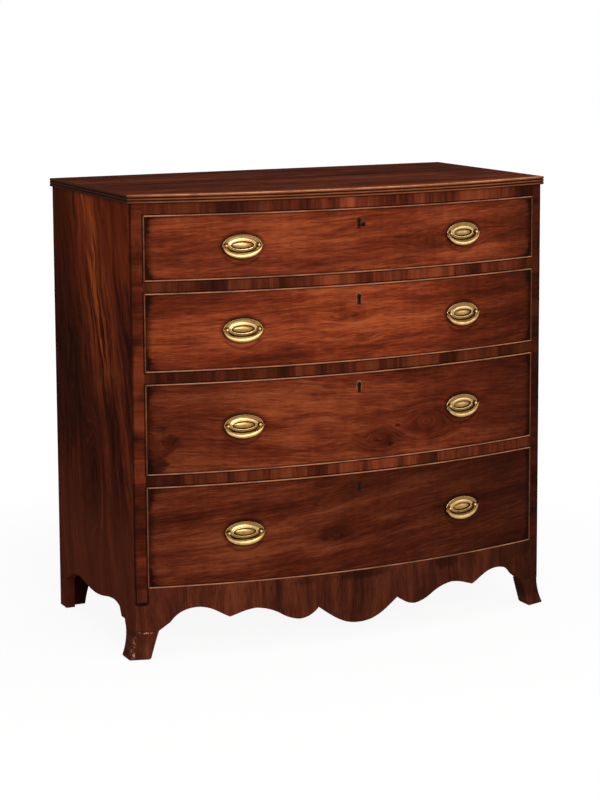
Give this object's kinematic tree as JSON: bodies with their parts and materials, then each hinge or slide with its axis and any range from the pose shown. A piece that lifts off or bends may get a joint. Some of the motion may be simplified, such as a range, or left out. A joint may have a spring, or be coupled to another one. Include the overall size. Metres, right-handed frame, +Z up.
{
  "type": "bow front chest of drawers",
  "caption": "Bow-fronted mahogany chest of graduated long drawers that slide out, with oval brass drop handles, a shaped apron and splayed bracket feet, for storing clothes.",
  "frame": {"origin": "on the floor, under the middle of the whole chest at rest", "axes": "+X to the right along the width, seen facing the drawers; -Y is the bowed front; +Z up"},
  "size_m": [0.992, 0.5454, 0.96],
  "materials": {
    "top_mahogany": "french polished, worn at the front edge",
    "side_mahogany": "french polished",
    "crossband_veneer": "french polished cross-cut veneer",
    "apron_veneer": "french polished upright veneer",
    "drawer_veneer": "french polished figured veneer",
    "cock_bead": "polished",
    "lining_wood": "bare oak",
    "carcase_pine": "bare aged pine",
    "handle_brass": "polished cast brass",
    "lock_brass": "aged brass"
  },
  "bodies": {
    "carcase": {"apron": "apron_veneer", "back_boards": "carcase_pine", "bottom_board": "carcase_pine", "drawer_rails": "crossband_veneer", "drawer_runners": "carcase_pine", "drawer_stops": "carcase_pine", "dustboards": "carcase_pine", "frieze_rail": "crossband_veneer", "front_feet": "apron_veneer", "glue_blocks": "carcase_pine", "left_side": "side_mahogany", "rear_foot_brackets": "carcase_pine", "right_side": "side_mahogany", "stiles": "crossband_veneer", "top_board": "top_mahogany"},
    "drawer_1": {"drawer_1_back": "lining_wood", "drawer_1_bottom": "lining_wood", "drawer_1_cock_beads": "cock_bead", "drawer_1_front": "drawer_veneer", "drawer_1_handle_plates": "handle_brass", "drawer_1_handle_posts": "handle_brass", "drawer_1_left_side": "lining_wood", "drawer_1_lock": "lock_brass", "drawer_1_right_side": "lining_wood"},
    "drawer_1_left_bail": {"drawer_1_left_bail": "handle_brass"},
    "drawer_1_right_bail": {"drawer_1_right_bail": "handle_brass"},
    "drawer_2": {"drawer_2_back": "lining_wood", "drawer_2_bottom": "lining_wood", "drawer_2_cock_beads": "cock_bead", "drawer_2_front": "drawer_veneer", "drawer_2_handle_plates": "handle_brass", "drawer_2_handle_posts": "handle_brass", "drawer_2_left_side": "lining_wood", "drawer_2_lock": "lock_brass", "drawer_2_right_side": "lining_wood"},
    "drawer_2_left_bail": {"drawer_2_left_bail": "handle_brass"},
    "drawer_2_right_bail": {"drawer_2_right_bail": "handle_brass"},
    "drawer_3": {"drawer_3_back": "lining_wood", "drawer_3_bottom": "lining_wood", "drawer_3_cock_beads": "cock_bead", "drawer_3_front": "drawer_veneer", "drawer_3_handle_plates": "handle_brass", "drawer_3_handle_posts": "handle_brass", "drawer_3_left_side": "lining_wood", "drawer_3_lock": "lock_brass", "drawer_3_right_side": "lining_wood"},
    "drawer_3_left_bail": {"drawer_3_left_bail": "handle_brass"},
    "drawer_3_right_bail": {"drawer_3_right_bail": "handle_brass"},
    "drawer_4": {"drawer_4_back": "lining_wood", "drawer_4_bottom": "lining_wood", "drawer_4_cock_beads": "cock_bead", "drawer_4_front": "drawer_veneer", "drawer_4_handle_plates": "handle_brass", "drawer_4_handle_posts": "handle_brass", "drawer_4_left_side": "lining_wood", "drawer_4_lock": "lock_brass", "drawer_4_right_side": "lining_wood"},
    "drawer_4_left_bail": {"drawer_4_left_bail": "handle_brass"},
    "drawer_4_right_bail": {"drawer_4_right_bail": "handle_brass"}
  },
  "joints": [
    {"name": "drawer_1_slide", "type": "slide", "parent": "carcase", "child": "drawer_1", "axis": [0, -1, 0], "range_m": [0, 0.36]},
    {"name": "drawer_1_left_bail_swing", "type": "hinge", "parent": "drawer_1", "child": "drawer_1_left_bail", "pos_m": [-0.257, -0.25378, 0.85239], "axis": [-0.9885, 0.1511, 0], "range_deg": [0, 100]},
    {"name": "drawer_1_right_bail_swing", "type": "hinge", "parent": "drawer_1", "child": "drawer_1_right_bail", "pos_m": [0.257, -0.25378, 0.85239], "axis": [-0.9885, -0.1511, 0], "range_deg": [0, 100]},
    {"name": "drawer_2_slide", "type": "slide", "parent": "carcase", "child": "drawer_2", "axis": [0, -1, 0], "range_m": [0, 0.36]},
    {"name": "drawer_2_left_bail_swing", "type": "hinge", "parent": "drawer_2", "child": "drawer_2_left_bail", "pos_m": [-0.257, -0.25378, 0.68016], "axis": [-0.9885, 0.1511, 0], "range_deg": [0, 100]},
    {"name": "drawer_2_right_bail_swing", "type": "hinge", "parent": "drawer_2", "child": "drawer_2_right_bail", "pos_m": [0.257, -0.25378, 0.68016], "axis": [-0.9885, -0.1511, 0], "range_deg": [0, 100]},
    {"name": "drawer_3_slide", "type": "slide", "parent": "carcase", "child": "drawer_3", "axis": [0, -1, 0], "range_m": [0, 0.36]},
    {"name": "drawer_3_left_bail_swing", "type": "hinge", "parent": "drawer_3", "child": "drawer_3_left_bail", "pos_m": [-0.257, -0.25378, 0.48107], "axis": [-0.9885, 0.1511, 0], "range_deg": [0, 100]},
    {"name": "drawer_3_right_bail_swing", "type": "hinge", "parent": "drawer_3", "child": "drawer_3_right_bail", "pos_m": [0.257, -0.25378, 0.48107], "axis": [-0.9885, -0.1511, 0], "range_deg": [0, 100]},
    {"name": "drawer_4_slide", "type": "slide", "parent": "carcase", "child": "drawer_4", "axis": [0, -1, 0], "range_m": [0, 0.36]},
    {"name": "drawer_4_left_bail_swing", "type": "hinge", "parent": "drawer_4", "child": "drawer_4_left_bail", "pos_m": [-0.257, -0.25378, 0.25699], "axis": [-0.9885, 0.1511, 0], "range_deg": [0, 100]},
    {"name": "drawer_4_right_bail_swing", "type": "hinge", "parent": "drawer_4", "child": "drawer_4_right_bail", "pos_m": [0.257, -0.25378, 0.25699], "axis": [-0.9885, -0.1511, 0], "range_deg": [0, 100]}
  ]
}
